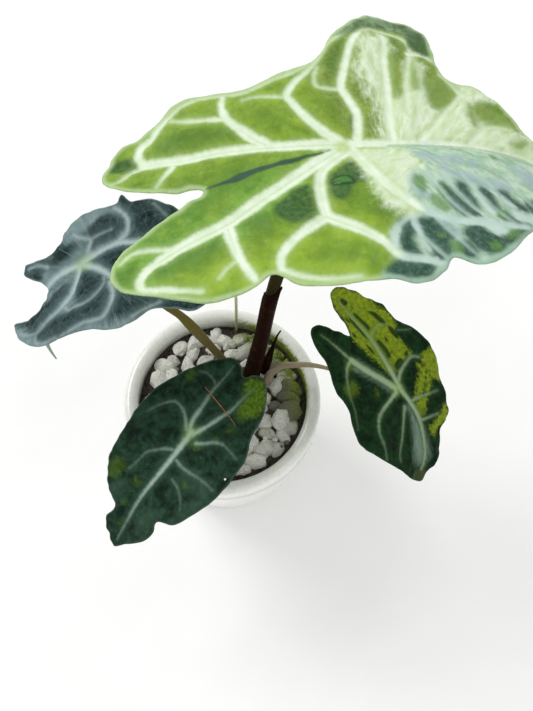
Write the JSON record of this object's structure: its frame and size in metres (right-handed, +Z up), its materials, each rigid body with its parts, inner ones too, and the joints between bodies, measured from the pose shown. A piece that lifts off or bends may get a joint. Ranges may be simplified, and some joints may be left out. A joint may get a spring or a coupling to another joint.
{
  "type": "potted alocasia",
  "caption": "Small potted aroid with quilted shield-shaped leaves, pale-veined and marbled, on slender stalks in a round white glazed pot topped with pumice.",
  "frame": {"origin": "middle of the pot's flat base, on the surface that it rests on", "axes": "+Z up, +X to the right and +Y to the back, as seen from the front"},
  "size_m": [0.2785, 0.2156, 0.2744],
  "materials": {
    "white_glaze": "gloss white glaze, algae stain inside the rim",
    "pumice_mix": "rough pale pumice over bark mix",
    "crown_skin": "rough brown stem skin",
    "lime_leaf": "lime green leaf with mint veins and dark sectors, soft sheen",
    "dark_leaf": "dark green leaf with silvery veins, soft sheen",
    "olive_stalk": "smooth olive stalk",
    "pale_stalk": "smooth beige-pink stalk",
    "dark_sheath": "dark red-brown sheath, soft sheen"
  },
  "bodies": {
    "root": {"pot": "white_glaze", "potting_mix": "pumice_mix", "crown": "crown_skin", "leaf_top": "lime_leaf", "leaf_left": "dark_leaf", "leaf_front": "dark_leaf", "leaf_right": "dark_leaf", "petiole_top": "olive_stalk", "petiole_left": "olive_stalk", "petiole_front": "olive_stalk", "petiole_right": "pale_stalk", "sheath": "dark_sheath", "scale_leaf": "dark_sheath", "spent_stalk": "olive_stalk"}
  },
  "joints": []
}
